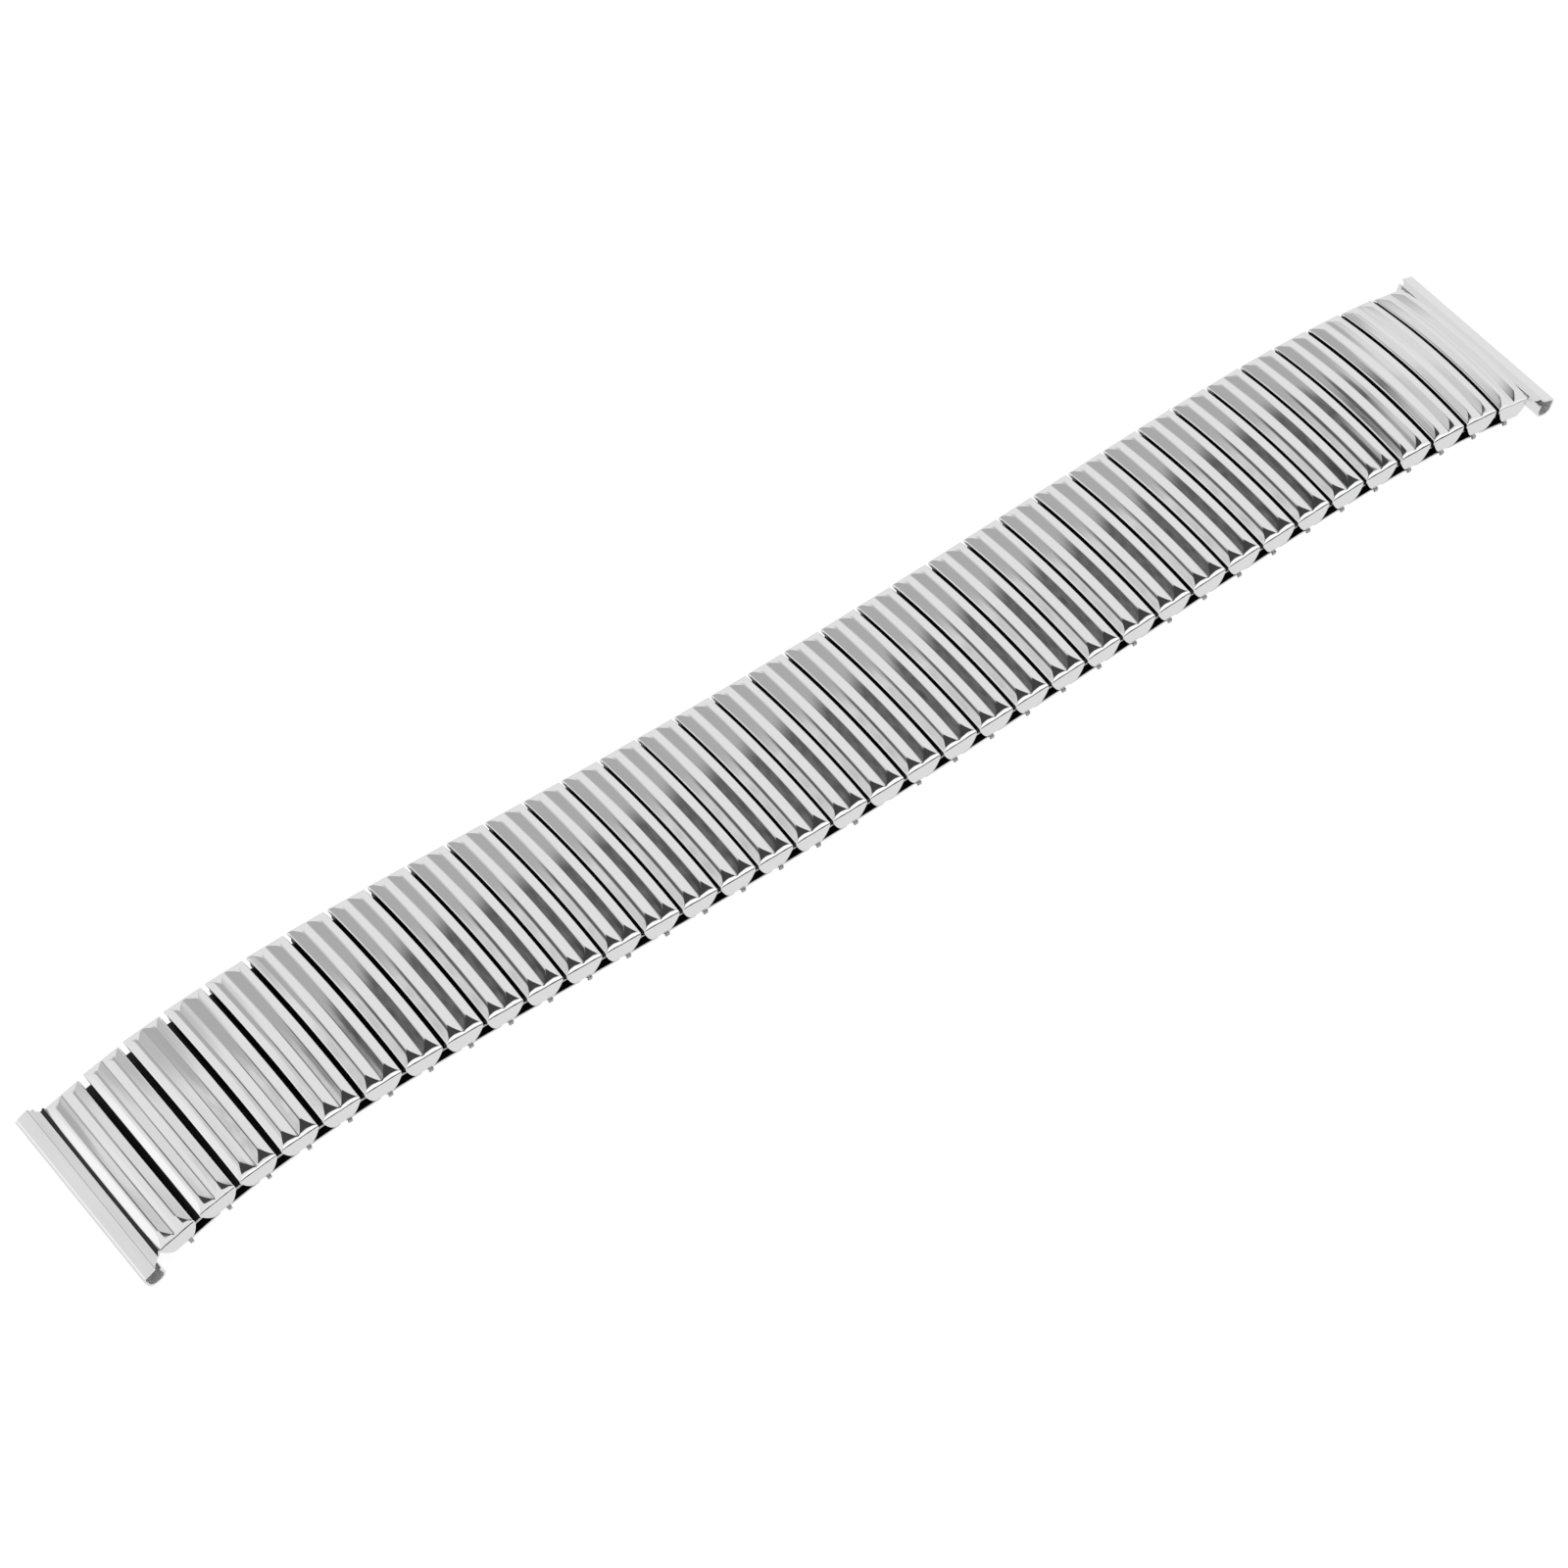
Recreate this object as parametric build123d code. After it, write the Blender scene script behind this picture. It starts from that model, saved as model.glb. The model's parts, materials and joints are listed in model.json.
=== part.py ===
from build123d import *
from math import degrees, radians, sqrt
import os

# An expansion watch band, in millimetres. +X runs along the band, +Y across it and +Z up through the covers.
# Two rows of open sleeves lie on each other, half a pitch apart, and small U-shaped staples tie them together.
# A bowed leaf spring in each sleeve holds the staples against its walls, so a pulled or bent band returns.
# A polished sheet cover with two ridges hides each top sleeve, and a rolled lug takes a spring bar at each end.

# The whole band
PITCH = 4.18
LINKS_PER_SIDE = 18
MIDDLE_LINK = LINKS_PER_SIDE + 1
STRETCH = 1.75

# Sheet thicknesses and clearances
COVER_SHEET = 0.15
SLEEVE_SHEET = 0.15
LUG_SHEET = 0.2
SEAT_CLEARANCE = 0.03
ROW_CLEARANCE = 0.08

# Covers
COVER_WIDTH = 18.0
COVER_GAP = 0.3
CROWN_RADIUS = 60.0
RIDGE_HEIGHT = 0.3
FLAP_DROP = 0.75
FLAP_CORNER = 1.2
FOLD_RADIUS = 0.3
FOLD_TURN = 60.0
SHOULDER_RADIUS = 4.1
SHOULDER_TURN = 20.0
FOLD_BELOW_SLEEVE_TOP = 0.14

# Sleeves
SLEEVE_HEIGHT = 1.05
SLEEVE_INSET = 0.35
TOP_SLEEVE_GAP = 0.48
BOTTOM_SLEEVE_GAP = 0.3

# Leaf springs
SPRING_INSET = 0.3
SPRING_WIDTH = 1.7
SPRING_SHEET = 0.1
SPRING_CLEARANCE = 0.02
BOW_CLEARANCE = 0.35

# Staples
STAPLE_WIDTH = 0.38
STAPLE_SHEET = 0.18
STAPLE_LEG = 4.0
STAPLE_OFFSET = 0.05
LEG_CLEARANCE = 0.05
TRAVEL_CLEARANCE = 0.09
STAPLE_SPACING = 0.19

# Lugs
LUG_LENGTH = 20.0
SPRING_BAR_BORE = 1.7
LUG_REACH = 1.6
LUG_DROP = 0.15
CREASE_X = 0.6
CREASE_DEPTH = 0.22
FLANGE_INSET = 0.2
TONGUE_INSET = 3.0
TONGUE_LENGTH = 2.2
SEAM_TURN = 24.0
SEAM_AT = -50.0

# The band lies in a shallow wave: each side rises away from the middle link, then droops to its lug.
# The whole wave leans a little, so that it stands on both lugs.
REST_LEAN = -0.1
RIGHT_RISE = 7.3
RIGHT_DROOP = 20.7
LEFT_RISE = 12.8
LEFT_DROOP = 31.4
DROOP_POWER = 4

# One overrun serves every cut
OVERRUN = 1.0

# Worked out from the sizes above. Heights are measured from the top row's underside.
COVER_LENGTH = PITCH - COVER_GAP
TOP_SLEEVE_LENGTH = PITCH - TOP_SLEEVE_GAP
BOTTOM_SLEEVE_LENGTH = PITCH - BOTTOM_SLEEVE_GAP
SLEEVE_WIDTH = COVER_WIDTH - 2 * (COVER_SHEET + SLEEVE_INSET)
BOTTOM_ROW_Z = -ROW_CLEARANCE - SLEEVE_HEIGHT
SKIRT_Z = SLEEVE_HEIGHT + SEAT_CLEARANCE
CROWN_DROP = CROWN_RADIUS - sqrt(CROWN_RADIUS**2 - (SLEEVE_WIDTH / 2) ** 2)
COVER_EDGE_Z = SKIRT_Z + CROWN_DROP + COVER_SHEET
FOLD_Z = SLEEVE_HEIGHT - FOLD_BELOW_SLEEVE_TOP
STAPLE_END = SLEEVE_WIDTH / 2 + STAPLE_OFFSET
LEG_TIP = STAPLE_END - STAPLE_LEG

# Where the staples stand, along the band from the middle of a top link. The sliding one has room to travel.
SLIDE_STAPLE_X = STRETCH + TRAVEL_CLEARANCE + STAPLE_WIDTH / 2 + SLEEVE_SHEET - TOP_SLEEVE_LENGTH / 2
SLIDE_STAPLE_LOW_X = BOTTOM_SLEEVE_GAP / 2 + SLEEVE_SHEET + TRAVEL_CLEARANCE + STAPLE_WIDTH / 2
HINGE_STAPLE_X = SLIDE_STAPLE_X + STAPLE_WIDTH + STAPLE_SPACING

# The lug's bore lies beyond the cover's edge, a little below the tongue
TONGUE_TOP_Z = SKIRT_Z + LUG_SHEET
TONGUE_WIDTH = COVER_WIDTH - 2 * TONGUE_INSET
BORE_RADIUS = SPRING_BAR_BORE / 2
LUG_RADIUS = BORE_RADIUS + LUG_SHEET
BORE_X = COVER_LENGTH / 2 + LUG_REACH
BORE_Z = TONGUE_TOP_Z - LUG_DROP - LUG_RADIUS


def across(outline, width):
    """An XZ outline as a solid, half its width to each side of the band's centre line."""
    return extrude(Plane.XZ * outline, width / 2, both=True)


def along(outline, length):
    """A YZ outline as a solid, half its length to each side of the link's centre."""
    return extrude(Plane.YZ * outline, length / 2, both=True)


def block(low, high):
    """A box between two opposite corners."""
    size = [abs(b - a) for a, b in zip(low, high)]
    middle = [(a + b) / 2 for a, b in zip(low, high)]
    return Pos(*middle) * Box(*size)


def ridged_body(inset):
    """Two ridges along Y, bent to the crown of the band."""
    half = COVER_LENGTH / 2 - inset
    edge = COVER_EDGE_Z - inset
    ridge = edge + RIDGE_HEIGHT
    floor = -COVER_WIDTH / 2
    outline = Polygon(
        (-half, floor),
        (-half, edge),
        (-COVER_LENGTH / 4, ridge),
        (0, edge),
        (COVER_LENGTH / 4, ridge),
        (half, edge),
        (half, floor),
        align=None,
    )
    axis = Axis((0, 0, COVER_EDGE_Z - CROWN_RADIUS), (1, 0, 0))
    half_turn = degrees(COVER_WIDTH / CROWN_RADIUS)
    return revolve(Plane.XZ * outline, axis, 2 * half_turn).rotate(axis, -half_turn)


def folded_body(inset):
    """The side view of a cover: flaps at both ends, a small fold and a sloping shoulder over each."""
    side = COVER_WIDTH / 2 - inset
    foot = Line((0, -FLAP_DROP), (side, -FLAP_DROP))
    flap = Line(foot @ 1, (side, FOLD_Z))
    fold = JernArc(flap @ 1, (0, 1), FOLD_RADIUS - inset, FOLD_TURN)
    shoulder = JernArc(fold @ 1, fold % 1, SHOULDER_RADIUS - inset, SHOULDER_TURN)
    slope = shoulder % 1
    peak = shoulder @ 1 - slope * ((shoulder @ 1).X / slope.X)
    half = make_face([foot, flap, fold, shoulder, Line(shoulder @ 1, peak), Line(peak, foot @ 0)])
    return along(half + mirror(half, Plane.YZ), 2 * COVER_LENGTH)


def make_cover():
    """A polished top cover: a folded sheet, open below, with rounded lower corners on its flaps."""
    outer = ridged_body(0) & folded_body(0)
    inner = ridged_body(COVER_SHEET) & folded_body(COVER_SHEET)
    inside = COVER_WIDTH / 2 - COVER_SHEET
    under = block((-COVER_LENGTH, -inside, -OVERRUN), (COVER_LENGTH, inside, SKIRT_Z))
    top = COVER_EDGE_Z + RIDGE_HEIGHT + OVERRUN
    frame = Pos(0, (top - FLAP_DROP) / 2) * Rectangle(COVER_LENGTH, top + FLAP_DROP)
    corners = frame.vertices().sort_by(Axis.Y)[:2]
    return (outer - inner - under) & across(fillet(corners, FLAP_CORNER), 2 * COVER_WIDTH)


def make_sleeve(length, floor_z):
    """A flat tube of folded sheet, open at both ends."""
    hollow = 2 * SLEEVE_SHEET
    ring = Rectangle(length, SLEEVE_HEIGHT) - Rectangle(length - hollow, SLEEVE_HEIGHT - hollow)
    return across(Pos(0, floor_z + SLEEVE_HEIGHT / 2) * ring, SLEEVE_WIDTH)


def make_spring(end_z, bow_z):
    """A leaf spring: its bowed middle bears on one wall of its sleeve and its flat ends press on the staples."""
    bow = LEG_TIP - BOW_CLEARANCE
    half = SLEEVE_WIDTH / 2 - SPRING_INSET
    faces = []
    for rise in (0, SPRING_SHEET):
        middle = ThreePointArc((-bow, end_z + rise), (0, bow_z + rise), (bow, end_z + rise))
        faces += [middle, Line((-half, end_z + rise), middle @ 0), Line(middle @ 1, (half, end_z + rise))]
    ends = [Line((y, end_z), (y, end_z + SPRING_SHEET)) for y in (-half, half)]
    return along(make_face([*faces, *ends]), SPRING_WIDTH)


def make_staple(top_x, bottom_x):
    """A U of flat strip at the near side: one leg in a top sleeve, one in a bottom sleeve, and a bridge."""
    half = STAPLE_WIDTH / 2
    top_z = SLEEVE_HEIGHT - SLEEVE_SHEET - LEG_CLEARANCE
    bottom_z = BOTTOM_ROW_Z + SLEEVE_SHEET + LEG_CLEARANCE
    back = -STAPLE_END - STAPLE_SHEET
    bridge = Polygon(
        (bottom_x - half, bottom_z),
        (bottom_x + half, bottom_z),
        (bottom_x + half, bottom_z + STAPLE_SHEET),
        (top_x + half, top_z - STAPLE_SHEET),
        (top_x + half, top_z),
        (top_x - half, top_z),
        (top_x - half, top_z - STAPLE_SHEET),
        (bottom_x - half, bottom_z + STAPLE_SHEET),
        align=None,
    )
    bridge = Pos(0, back + STAPLE_SHEET, 0) * extrude(Plane.XZ * bridge, STAPLE_SHEET)
    top_leg = block((top_x - half, back, top_z - STAPLE_SHEET), (top_x + half, -LEG_TIP, top_z))
    bottom_leg = block(
        (bottom_x - half, back, bottom_z),
        (bottom_x + half, -LEG_TIP, bottom_z + STAPLE_SHEET),
    )
    return bridge + top_leg + bottom_leg


def make_lug():
    """The rolled lug beyond the last link on +X: a tube with a seam, a crease, and a tongue under the cover."""
    edge_x = COVER_LENGTH / 2
    crease_x = BORE_X - CREASE_X
    crease_z = TONGUE_TOP_Z - CREASE_DEPTH
    ridge_x = (crease_x + edge_x) / 2
    tongue_x = edge_x - TONGUE_LENGTH
    flange = Polygon(
        (BORE_X, BORE_Z + LUG_RADIUS),
        (crease_x, crease_z),
        (ridge_x, TONGUE_TOP_Z),
        (tongue_x, TONGUE_TOP_Z),
        (tongue_x, TONGUE_TOP_Z - LUG_SHEET),
        (ridge_x, TONGUE_TOP_Z - LUG_SHEET),
        (crease_x, crease_z - LUG_SHEET),
        (BORE_X, BORE_Z),
        align=None,
    )
    shoulders = [
        block((tongue_x, side * TONGUE_WIDTH / 2, 0), (edge_x + SEAT_CLEARANCE, side * COVER_WIDTH, COVER_WIDTH))
        for side in (-1, 1)
    ]
    seam = Rot(0, 0, SEAM_AT) * Pos(LUG_RADIUS, 0) * Rectangle(LUG_RADIUS, radians(SEAM_TURN) * LUG_RADIUS)
    tube = across(Pos(BORE_X, BORE_Z) * (Circle(LUG_RADIUS) - seam), LUG_LENGTH)
    bore = across(Pos(BORE_X, BORE_Z) * Circle(BORE_RADIUS), LUG_LENGTH + OVERRUN)
    wide = across(flange, COVER_WIDTH - 2 * FLANGE_INSET)
    return tube + (wide - shoulders[0] - shoulders[1]) - bore


def slotted_for_lug(cover):
    """The cover of a last link, with a slot in its outer skirt for the lug's tongue."""
    half = TONGUE_WIDTH / 2 + SEAT_CLEARANCE
    return cover - block(
        (COVER_LENGTH / 2 - 2 * COVER_SHEET, -half, 0),
        (COVER_LENGTH / 2 + OVERRUN, half, TONGUE_TOP_Z + SEAT_CLEARANCE),
    )


def tilt(step, rise, droop):
    """How far a link slopes up from the middle link, in degrees, this many links out."""
    way = step / LINKS_PER_SIDE
    return rise * way - droop * way**DROOP_POWER


def solids_at(place, shapes):
    return [shape.solid().moved(place) for shape in shapes]


def whole_band():
    """Every node's solids, the hinge pins' places and the slide directions, about the middle link."""
    cover = make_cover()
    end_cover = slotted_for_lug(cover)
    top_sleeve = make_sleeve(TOP_SLEEVE_LENGTH, 0)
    bottom_sleeve = make_sleeve(BOTTOM_SLEEVE_LENGTH, BOTTOM_ROW_Z)
    floor_z = SLEEVE_SHEET + SPRING_CLEARANCE
    ceiling_z = SLEEVE_HEIGHT - SLEEVE_SHEET - SPRING_CLEARANCE - SPRING_SHEET
    top_spring = make_spring(floor_z, ceiling_z)
    on_staple_z = BOTTOM_ROW_Z + SLEEVE_SHEET + LEG_CLEARANCE + STAPLE_SHEET + SPRING_CLEARANCE
    bottom_spring = make_spring(on_staple_z, BOTTOM_ROW_Z + ceiling_z)
    hinge_staple = make_staple(HINGE_STAPLE_X, HINGE_STAPLE_X)
    slide_staple = make_staple(PITCH + SLIDE_STAPLE_X, PITCH - SLIDE_STAPLE_LOW_X)
    lug = make_lug()
    staples = [hinge_staple, slide_staple]
    staples += [mirror(staple, Plane.XZ) for staple in staples]
    bottom_link = [Pos(PITCH / 2, 0, 0) * bottom_sleeve, Pos(PITCH / 2, 0, 0) * bottom_spring, *staples]

    middle = Rot(0, REST_LEAN, 0)
    nodes = {
        "middle_cover": solids_at(middle, [cover]),
        "middle_sleeve": solids_at(middle, [top_sleeve]),
        "middle_leaf_spring": solids_at(middle, [top_spring]),
    }
    joints = []
    sides = [
        ("right", 0, 1, (RIGHT_RISE, RIGHT_DROOP)),
        ("left", 180, -1, (LEFT_RISE, LEFT_DROOP)),
    ]
    for name, turn, way, wave in sides:
        place = middle * Rot(0, 0, turn)
        inner_node = "middle_sleeve"
        for step in range(1, LINKS_PER_SIDE + 1):
            number = MIDDLE_LINK + way * step
            gap = min(number, number - way)
            bend = tilt(step - 1, *wave) - tilt(step, *wave)
            pin = place * Pos(0, 0, BOTTOM_ROW_Z)
            place = pin * Rot(0, bend, 0) * Pos(0, 0, -BOTTOM_ROW_Z)
            bottom_node = f"bottom_link_{gap:02d}"
            hinged = step % 2 == 1
            if hinged:
                joints.append((f"bend_{gap:02d}", inner_node, bottom_node, pin, bend))
                nodes[bottom_node] = []
            else:
                bottom_node = inner_node
            nodes[bottom_node] += solids_at(place, bottom_link)
            place = place * Pos(PITCH, 0, 0)
            top_node = f"top_link_{number:02d}"
            last = step == LINKS_PER_SIDE
            shapes = [end_cover if last else cover, top_sleeve, top_spring]
            nodes[top_node] = solids_at(place, shapes)
            joints.append((f"stretch_{gap:02d}", bottom_node, top_node, place, None))
            inner_node = top_node
        nodes[f"lug_{name}"] = solids_at(place, [lug])
        joints.append((f"bore_{name}", inner_node, f"lug_{name}", place * Pos(BORE_X, 0, BORE_Z), None))
    return nodes, joints


nodes, joints = whole_band()
box = Compound([solid for solids in nodes.values() for solid in solids]).bounding_box()
stand = Pos(-box.center().X, -box.center().Y, -box.min.Z)
os.makedirs("parts", exist_ok=True)
for name, solids in nodes.items():
    export_step(Compound([solid.moved(stand) for solid in solids]), f"parts/{name}.step")

print("joint, its parent's node, its child's node, a point in mm, X, Y and Z directions, bend at rest in degrees")
for name, parent, child, place, bend in joints:
    here = Plane(stand * place)
    numbers = [*here.origin, *here.x_dir, *here.y_dir, *here.z_dir]
    print(name, parent, child, *[round(value, 6) for value in numbers], bend and round(bend, 4))
print("band size", box.size)
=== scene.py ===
# %% [markdown]
# # An expansion watch band in polished steel
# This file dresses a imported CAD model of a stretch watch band. The CAD model says where every link is and
# how it moves. Here each link gets the smooth folded covers, the open sleeves, the leaf springs and the
# little staples that the eye looks for, and a studio with the long white and grey reflections that polished
# steel needs. The first cell loads the CAD model as a fixed frame. Nothing in it is moved, only measured.

# %% Load the frame
import json
import math
import random
import bmesh
import bpy
from mathutils import Matrix, Vector

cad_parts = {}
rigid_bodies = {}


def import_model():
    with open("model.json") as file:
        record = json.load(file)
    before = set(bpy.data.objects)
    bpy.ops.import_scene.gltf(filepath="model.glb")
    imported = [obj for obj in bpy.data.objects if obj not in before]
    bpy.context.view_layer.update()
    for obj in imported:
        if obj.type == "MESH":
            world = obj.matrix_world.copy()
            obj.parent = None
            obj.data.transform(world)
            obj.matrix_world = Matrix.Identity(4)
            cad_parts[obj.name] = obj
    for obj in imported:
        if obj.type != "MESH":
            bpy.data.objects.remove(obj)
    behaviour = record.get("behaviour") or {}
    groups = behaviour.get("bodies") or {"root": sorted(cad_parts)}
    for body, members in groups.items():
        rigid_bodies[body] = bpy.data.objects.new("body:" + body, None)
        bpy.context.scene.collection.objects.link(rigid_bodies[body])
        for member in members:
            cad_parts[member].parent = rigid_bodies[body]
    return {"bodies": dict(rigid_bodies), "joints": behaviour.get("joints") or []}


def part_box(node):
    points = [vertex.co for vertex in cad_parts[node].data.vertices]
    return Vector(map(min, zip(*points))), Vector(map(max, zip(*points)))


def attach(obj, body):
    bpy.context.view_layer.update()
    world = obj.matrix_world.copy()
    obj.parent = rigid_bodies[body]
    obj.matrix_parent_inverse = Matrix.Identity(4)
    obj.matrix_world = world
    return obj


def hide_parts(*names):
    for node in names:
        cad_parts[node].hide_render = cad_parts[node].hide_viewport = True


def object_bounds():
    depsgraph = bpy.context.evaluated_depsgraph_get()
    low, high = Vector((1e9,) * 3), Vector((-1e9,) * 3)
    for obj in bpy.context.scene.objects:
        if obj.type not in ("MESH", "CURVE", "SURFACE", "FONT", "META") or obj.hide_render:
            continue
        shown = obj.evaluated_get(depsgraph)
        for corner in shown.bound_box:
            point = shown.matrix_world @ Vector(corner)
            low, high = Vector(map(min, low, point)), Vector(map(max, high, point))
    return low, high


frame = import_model()
cad_box = [list(corner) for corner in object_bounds()]

# %% [markdown]
# ## The camera
# The band runs from the lower left of the picture to the upper right, seen from about 53 degrees above the
# table. A long lens keeps the links nearly the same size from end to end. Blender's camera looks along its
# own -Z with +Y up, so its three axes are written as the columns of a matrix: right, up, and back towards
# the camera.

# %% Make the camera
MM = 0.001
PICTURE_WIDTH = 1600
SENSOR_WIDTH_MM = 36
FOCAL_PIXELS = 5062
NEAREST_M, FARTHEST_M = 0.01, 100
CAMERA_AT_MM = (-167.587, -216.319, 355.055)
RIGHT = Vector((0.7930, -0.6092, -0.0077)).normalized()
FORWARD = Vector((0.3639, 0.4836, -0.7960)).normalized()


def add_camera():
    """The camera at its measured place, with the lens that its focal length in pixels gives."""
    lens = bpy.data.cameras.new("camera")
    lens.sensor_width = SENSOR_WIDTH_MM
    lens.lens = lens.sensor_width * FOCAL_PIXELS / PICTURE_WIDTH
    lens.clip_start, lens.clip_end = NEAREST_M, FARTHEST_M
    camera = bpy.data.objects.new("camera", lens)
    bpy.context.scene.collection.objects.link(camera)
    up = RIGHT.cross(FORWARD).normalized()
    turn = Matrix((RIGHT, up, -FORWARD)).transposed().to_4x4()
    camera.matrix_world = Matrix.Translation(Vector(CAMERA_AT_MM) * MM) @ turn
    bpy.context.scene.camera = camera
    return camera


camera = add_camera()
bpy.context.scene.view_settings.view_transform = "Standard"
print("lens", round(camera.data.lens, 1), "mm at", [round(x, 3) for x in camera.matrix_world.translation])

# %% [markdown]
# ## The studio
# Polished steel has hardly a colour of its own: it shows the room. Product photographers therefore build a
# white tent round it and leave one dark hole, so that every facet is either a clean white strip or a crisp
# dark one. Here the tent is the world, and its brightness depends on the direction that a reflection leaves
# in. Over a white base lie soft discs, each round one direction and mixed over what is there already. A
# grey panel behind the band gives the mid grey strips. A key light low at the left and a front light give
# the white ones, and a dim ceiling with a dark opening beside it gives the dark ones. The band lies in a
# wave, so the links near its ends are tipped and see other parts of the tent: a pale wall at the left, and
# a side light, a far wall and a roof light at the right. The ceiling and the pale wall are uneven, as real
# cloth is, so that the strips on the band get a grain. A low dark skirting at the near side draws the thin
# line that runs along every folded flap. A ray from the camera sees plain white instead.

# %% Small helpers for node trees
def add_node(tree, kind, settings=None, inputs=None):
    """Adds one node, with its properties and the values of its sockets."""
    node = tree.nodes.new(kind)
    for name, value in (settings or {}).items():
        setattr(node, name, value)
    for name, value in (inputs or {}).items():
        node.inputs[name].default_value = value
    return node


def math_node(tree, operation, first, second):
    """A Math node on two values, each a socket or a number."""
    node = add_node(tree, "ShaderNodeMath", {"operation": operation})
    for socket, value in zip(node.inputs, (first, second)):
        if isinstance(value, (int, float)):
            socket.default_value = value
        else:
            tree.links.new(value, socket)
    return node.outputs[0]


def ramp_node(tree, value, low, high):
    """A smooth step from 0 to 1 as a value goes from low to high."""
    node = add_node(tree, "ShaderNodeMapRange", {"interpolation_type": "SMOOTHSTEP"})
    node.inputs["From Min"].default_value = low
    node.inputs["From Max"].default_value = high
    tree.links.new(value, node.inputs["Value"])
    return node.outputs[0]


print("node helpers ready")

# %% Build the tent of light
TENT = 0.93
SKIRTING_LIGHT = 0.02
SKIRTING_DEGREES = 17
SKIRTING_FADE_SHARE = 0.7
SKIRTING_NEAR_Y = (-0.6, -0.8)
UNEVEN_SCALE = 30
UNEVEN_DETAIL = 3
NOISE_MIDDLE = 0.5
ZONES = [
    {"name": "grey panel", "azimuth": 103, "height": 46, "radius": 22, "soft": 3, "light": 0.50},
    {"name": "key light", "azimuth": 160, "height": 8, "radius": 21, "soft": 5, "light": 1.15},
    {"name": "pale wall", "azimuth": 147, "height": 54, "radius": 11, "soft": 5, "light": 0.74,
     "uneven": 0.5},
    {"name": "front light", "azimuth": -65, "height": 20, "radius": 27, "soft": 4, "light": 1.25},
    {"name": "dim ceiling", "azimuth": 104, "height": 71, "radius": 14, "soft": 3, "light": 0.14,
     "uneven": 0.22},
    {"name": "dark opening", "azimuth": -25, "height": 76, "radius": 28, "soft": 2, "light": 0.06},
    {"name": "side light", "azimuth": 52, "height": 56, "radius": 12, "soft": 3, "light": 0.86},
    {"name": "far wall", "azimuth": 60, "height": 34, "radius": 10, "soft": 5, "light": 0.60},
    {"name": "roof light", "azimuth": 55, "height": 71, "radius": 8, "soft": 4, "light": 0.72},
]


def direction(azimuth, height):
    """A unit vector from an azimuth, from +X towards +Y, and a height above the horizon, in degrees."""
    a, h = math.radians(azimuth), math.radians(height)
    return Vector((math.cos(a) * math.cos(h), math.sin(a) * math.cos(h), math.sin(h)))


def tent_light(tree):
    """The brightness of the tent for each direction, as one value."""
    look = add_node(tree, "ShaderNodeTexCoord").outputs["Generated"]
    light = add_node(tree, "ShaderNodeValue").outputs[0]
    light.default_value = TENT
    for zone in ZONES:
        turn = add_node(tree, "ShaderNodeVectorMath", {"operation": "DOT_PRODUCT"})
        tree.links.new(look, turn.inputs[0])
        turn.inputs[1].default_value = direction(zone["azimuth"], zone["height"])
        edge = [math.cos(math.radians(zone["radius"] + side * zone["soft"])) for side in (1, -1)]
        inside = ramp_node(tree, turn.outputs["Value"], *edge)
        mix = add_node(tree, "ShaderNodeMix", {"data_type": "FLOAT"}, {"B": zone["light"]})
        if "uneven" in zone:
            grain = {"Scale": UNEVEN_SCALE, "Detail": UNEVEN_DETAIL}
            noise = add_node(tree, "ShaderNodeTexNoise", inputs=grain)
            tree.links.new(look, noise.inputs["Vector"])
            centred = math_node(tree, "SUBTRACT", noise.outputs[0], NOISE_MIDDLE)
            swing = math_node(tree, "MULTIPLY", centred, zone["uneven"] / NOISE_MIDDLE)
            tree.links.new(math_node(tree, "ADD", swing, zone["light"]), mix.inputs["B"])
        tree.links.new(inside, mix.inputs["Factor"])
        tree.links.new(light, mix.inputs["A"])
        light = mix.outputs["Result"]
    parts = add_node(tree, "ShaderNodeSeparateXYZ")
    tree.links.new(look, parts.inputs[0])
    top = math.sin(math.radians(SKIRTING_DEGREES))
    low = ramp_node(tree, parts.outputs["Z"], top, top * SKIRTING_FADE_SHARE)
    near = ramp_node(tree, parts.outputs["Y"], *SKIRTING_NEAR_Y)
    mix = add_node(tree, "ShaderNodeMix", {"data_type": "FLOAT"}, {"B": SKIRTING_LIGHT})
    tree.links.new(math_node(tree, "MULTIPLY", low, near), mix.inputs["Factor"])
    tree.links.new(light, mix.inputs["A"])
    return mix.outputs["Result"]


def build_world():
    """White to the camera, the tent to everything else."""
    world = bpy.data.worlds.new("tent")
    world.use_nodes = True
    tree = world.node_tree
    tree.nodes.clear()
    tent = add_node(tree, "ShaderNodeBackground")
    tree.links.new(tent_light(tree), tent.inputs["Strength"])
    white = add_node(tree, "ShaderNodeBackground", inputs={"Strength": 1.0})
    white.inputs["Color"].default_value = (1, 1, 1, 1)
    tent.inputs["Color"].default_value = (1, 1, 1, 1)
    mix = add_node(tree, "ShaderNodeMixShader")
    tree.links.new(add_node(tree, "ShaderNodeLightPath").outputs["Is Camera Ray"], mix.inputs[0])
    tree.links.new(tent.outputs[0], mix.inputs[1])
    tree.links.new(white.outputs[0], mix.inputs[2])
    tree.links.new(mix.outputs[0], add_node(tree, "ShaderNodeOutputWorld").inputs[0])
    bpy.context.scene.world = world
    return world


build_world()
print("tent zones", [zone["name"] for zone in ZONES])
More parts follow.
